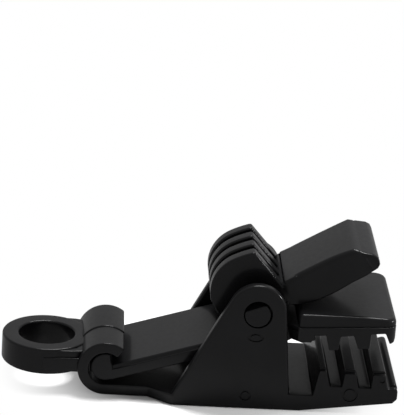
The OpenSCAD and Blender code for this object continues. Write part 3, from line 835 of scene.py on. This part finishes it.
# The photo's camera: its turn, tilt and roll in degrees, the pivot's place from it to the right, upwards and
# ahead in millimetres, and its focal length and the picture's longer side in pixels
CAMERA_TURN, CAMERA_TILT, CAMERA_ROLL = -3.2, 20.47, 4.06
PIVOT_SEEN = (14.92, -23.08, 729.53)
FOCAL_LENGTH, LONGER_SIDE = 2594, 415
SENSOR = 36
# The floor's grey, how far it lies under the clip, and how far out it starts and ends going over into
# white, in metres
FLOOR_GREY, FLOOR_GAP = 0.93, 0.05 * MM
FADE_START, FADE_END = 0.02, 0.058
# The lamps' places, the point that both aim at, and their diameters, in metres
SIDE_LAMP, TOP_LAMP, AIM = (0.9, -0.03, 0.35), (0.1, 0.35, 0.95), (0, 0, 0.02)
SIDE_LAMP_SIZE, TOP_LAMP_SIZE = 0.1, 0.5


def seen_or_mirrored(tree):
    """A factor that is one for rays from the camera, from a gloss or through glass."""
    ray = tree.nodes.new("ShaderNodeLightPath").outputs
    seen = calculate(tree, "MAXIMUM", ray["Is Camera Ray"], ray["Is Glossy Ray"])
    return calculate(tree, "MAXIMUM", seen, ray["Is Transmission Ray"])


def floor_material():
    """A pale matt floor that goes over into plain white away from the clip."""
    material = bpy.data.materials.new("pale_floor")
    material.use_nodes = True
    tree = material.node_tree
    nodes, links = tree.nodes, tree.links
    nodes.remove(nodes["Principled BSDF"])
    out = nodes["Material Output"]
    matt, white, mix = (nodes.new("ShaderNodeBsdfDiffuse"), nodes.new("ShaderNodeEmission"),
                        nodes.new("ShaderNodeMixShader"))
    matt.inputs["Color"].default_value = (FLOOR_GREY, FLOOR_GREY, FLOOR_GREY, 1)
    place, far, fade = (nodes.new("ShaderNodeTexCoord"), nodes.new("ShaderNodeVectorMath"),
                        nodes.new("ShaderNodeMapRange"))
    far.operation = "LENGTH"
    fade.interpolation_type = "SMOOTHSTEP"
    fade.inputs["From Min"].default_value = FADE_START
    fade.inputs["From Max"].default_value = FADE_END
    links.new(place.outputs["Object"], far.inputs[0])
    links.new(far.outputs["Value"], fade.inputs["Value"])
    share = calculate(tree, "MULTIPLY", fade.outputs["Result"], seen_or_mirrored(tree))
    links.new(share, mix.inputs["Fac"])
    links.new(matt.outputs[0], mix.inputs[1])
    links.new(white.outputs[0], mix.inputs[2])
    links.new(mix.outputs[0], out.inputs["Surface"])
    return material


def add_lamp(name, place, size, power):
    """Adds a round lamp that shines at the clip."""
    data = bpy.data.lights.new(name, "AREA")
    data.shape = "DISK"
    data.size = size
    data.energy = power
    lamp = add_object(name, data)
    lamp.location = place
    lamp.rotation_euler = (Vector(AIM) - Vector(place)).to_track_quat("-Z", "Y").to_euler()


def add_camera():
    """Adds the camera that sees the clip as the photo does."""
    turn, tilt, roll = (math.radians(a) for a in (CAMERA_TURN, CAMERA_TILT, CAMERA_ROLL))
    right = Vector((math.cos(turn), math.sin(turn), 0))
    up = Vector((-math.sin(turn) * math.sin(tilt), math.cos(turn) * math.sin(tilt), math.cos(tilt)))
    ahead = Vector((-math.sin(turn) * math.cos(tilt), math.cos(turn) * math.cos(tilt), -math.sin(tilt)))
    right, up = math.cos(roll) * right + math.sin(roll) * up, math.cos(roll) * up - math.sin(roll) * right
    shift = PIVOT_SEEN[0] * right + PIVOT_SEEN[1] * up + PIVOT_SEEN[2] * ahead
    data = bpy.data.cameras.new("photo_camera")
    data.sensor_fit = "AUTO"
    data.sensor_width = SENSOR
    data.lens = FOCAL_LENGTH / LONGER_SIDE * SENSOR
    data.clip_start = 0.05
    data.clip_end = 10
    camera = add_object("photo_camera", data)
    turned = Matrix((right, up, -ahead)).transposed()
    camera.matrix_world = Matrix.Translation(PIVOT - shift * MM) @ turned.to_4x4()
    bpy.context.scene.camera = camera


def add_floor(radius):
    """Adds a round floor just under the clip."""
    mesh = bmesh.new()
    bmesh.ops.create_circle(mesh, cap_ends=True, segments=96, radius=radius)
    data = bpy.data.meshes.new("floor")
    mesh.to_mesh(data)
    mesh.free()
    data.materials.append(floor_material())
    floor = add_object("floor", data)
    floor.location.z = -FLOOR_GAP


def add_surroundings(level_on_clip):
    """Adds a world that is white to the camera and in reflections, and lights the clip at a lower level."""
    world = bpy.data.worlds.new("white_surroundings")
    world.use_nodes = True
    nodes, links = world.node_tree.nodes, world.node_tree.links
    sky = nodes["Background"]
    sky.inputs["Color"].default_value = (1, 1, 1, 1)
    level = nodes.new("ShaderNodeMapRange")
    level.inputs["To Min"].default_value = level_on_clip
    level.inputs["To Max"].default_value = 1
    links.new(seen_or_mirrored(world.node_tree), level.inputs["Value"])
    links.new(level.outputs["Result"], sky.inputs["Strength"])
    bpy.context.scene.world = world


class SCENE_OT_clip_stage(Operator):
    """Makes the camera, the floor, the lamps and the white surroundings"""
    bl_idname = "scene.clip_stage"
    bl_label = "Camera and stage"

    def execute(self, context):
        look = context.scene.clip_stage
        add_camera()
        add_floor(look.floor)
        add_lamp("side_lamp", SIDE_LAMP, SIDE_LAMP_SIZE, look.key)
        add_lamp("top_lamp", TOP_LAMP, TOP_LAMP_SIZE, look.top)
        add_surroundings(look.fill)
        context.scene.view_settings.view_transform = "Standard"
        return {"FINISHED"}


class VIEW3D_PT_tarp_clip(Panel):
    """Lists the clip's operators and sizes"""
    bl_label = "Tarp clip"
    bl_idname = "VIEW3D_PT_tarp_clip"
    bl_space_type = "VIEW_3D"
    bl_region_type = "UI"
    bl_category = "Tarp clip"

    def draw(self, context):
        for operator, group in (("scene.clip_stage", "clip_stage"), ("object.clip_body", "clip_body"),
                                ("object.clip_arm", "clip_arm"), ("object.clip_lever", "clip_lever"),
                                (None, "plastic_look")):
            box = self.layout.box()
            if operator:
                box.operator(operator)
            sizes = getattr(context.scene, group)
            for name in sizes.bl_rna.properties.keys():
                if name not in {"rna_type", "name"}:
                    box.prop(sizes, name)


CLASSES = (ClipBodySizes, JawArmSizes, CamLeverSizes, PlasticLook, StageLook, OBJECT_OT_clip_body,
           OBJECT_OT_clip_arm, OBJECT_OT_clip_lever, SCENE_OT_clip_stage, VIEW3D_PT_tarp_clip)
GROUPS = {"clip_body": ClipBodySizes, "clip_arm": JawArmSizes, "clip_lever": CamLeverSizes,
          "plastic_look": PlasticLook, "clip_stage": StageLook}


def register():
    for item in CLASSES:
        bpy.utils.register_class(item)
    for name, group in GROUPS.items():
        setattr(bpy.types.Scene, name, PointerProperty(type=group))


def unregister():
    for name in GROUPS:
        delattr(bpy.types.Scene, name)
    for item in reversed(CLASSES):
        bpy.utils.unregister_class(item)


def main():
    register()
    bpy.ops.scene.clip_stage()
    bpy.ops.object.clip_body()
    bpy.ops.object.clip_arm()
    bpy.ops.object.clip_lever()


if __name__ == "__main__":
    main()
